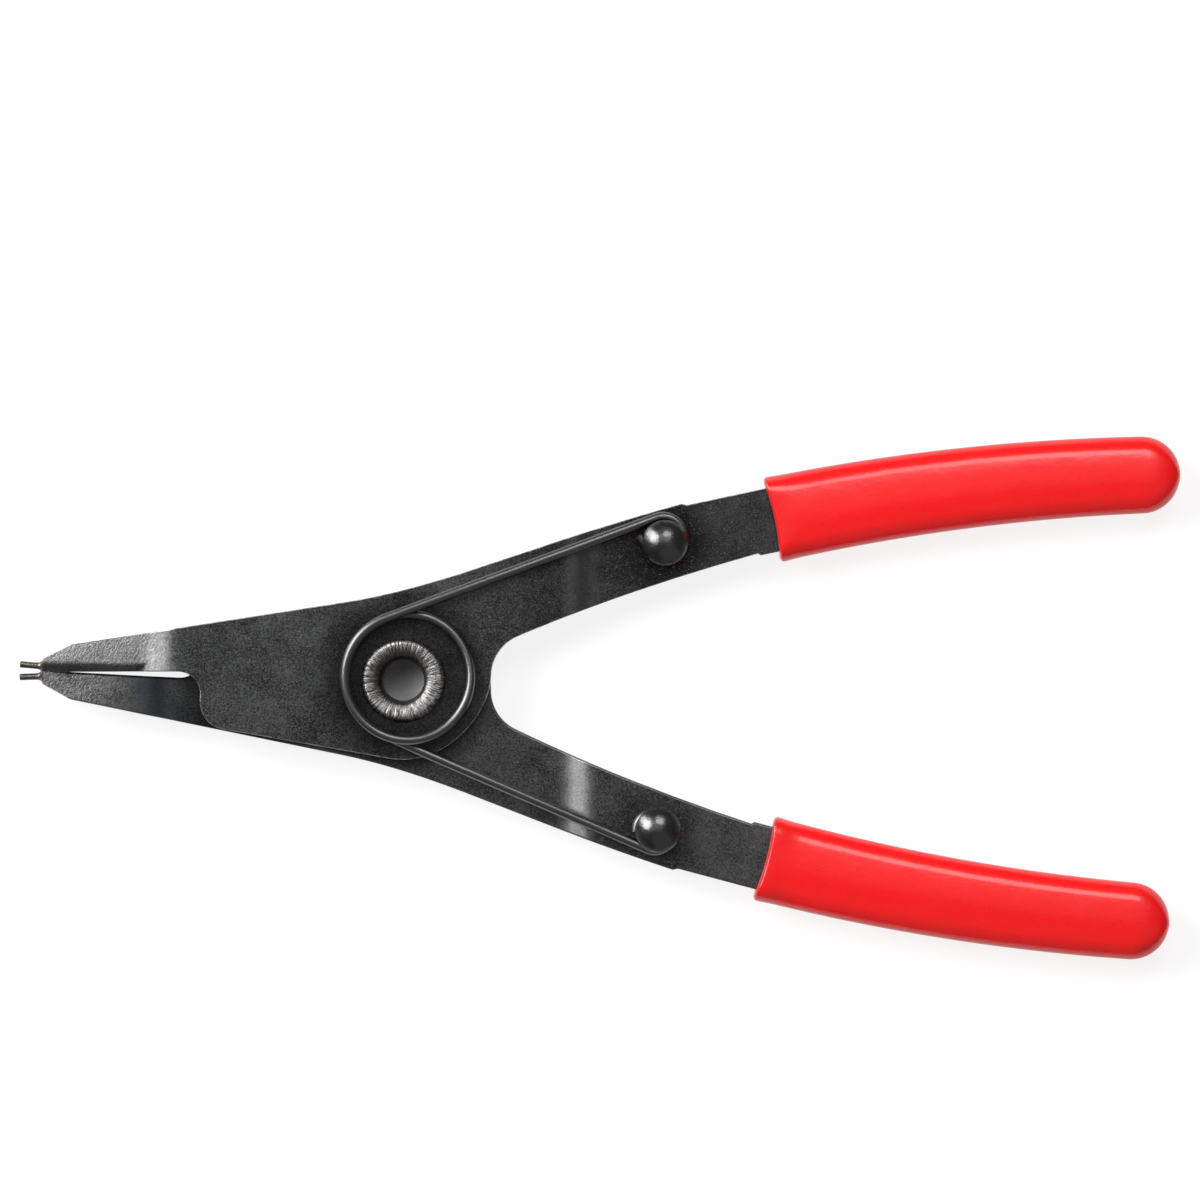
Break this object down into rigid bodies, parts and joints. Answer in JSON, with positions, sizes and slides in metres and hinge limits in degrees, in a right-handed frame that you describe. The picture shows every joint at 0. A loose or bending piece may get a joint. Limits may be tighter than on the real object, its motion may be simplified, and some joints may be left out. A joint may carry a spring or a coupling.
{
  "type": "circlip pliers",
  "caption": "External circlip pliers: joggled steel levers on a hollow rivet, torsion return spring on studs, round tips that spread as the dipped grips close.",
  "frame": {"origin": "on the pivot axis, midway between the two levers", "axes": "+X along the tool towards the handles, +Y towards the front lever's handle, +Z along the pivot axis towards the clinched end of the rivet"},
  "size_m": [0.1675, 0.0758, 0.0102],
  "materials": {
    "black_oxide_steel": "satin black oxide on stamped plate",
    "rivet_steel": "black oxide worn bright on the rolled clinch",
    "spring_wire": "semi-gloss black",
    "stud_steel": "semi-gloss black",
    "red_vinyl": "glossy dipped vinyl"
  },
  "bodies": {
    "rear_lever": {"rear_plate": "black_oxide_steel", "pivot_rivet": "rivet_steel", "return_spring": "spring_wire", "lower_spring_stud": "stud_steel", "lower_grip": "red_vinyl"},
    "front_lever": {"front_plate": "black_oxide_steel", "upper_spring_stud": "stud_steel", "upper_grip": "red_vinyl"}
  },
  "joints": [
    {"name": "lever_pivot", "type": "hinge", "parent": "rear_lever", "child": "front_lever", "pos_m": [0, 0, 0], "axis": [0, 0, -1], "range_deg": [0, 27.7], "stiffness_Nm_per_rad": 0.2, "springref_deg": -57.3, "deforming": ["return_spring"]}
  ]
}
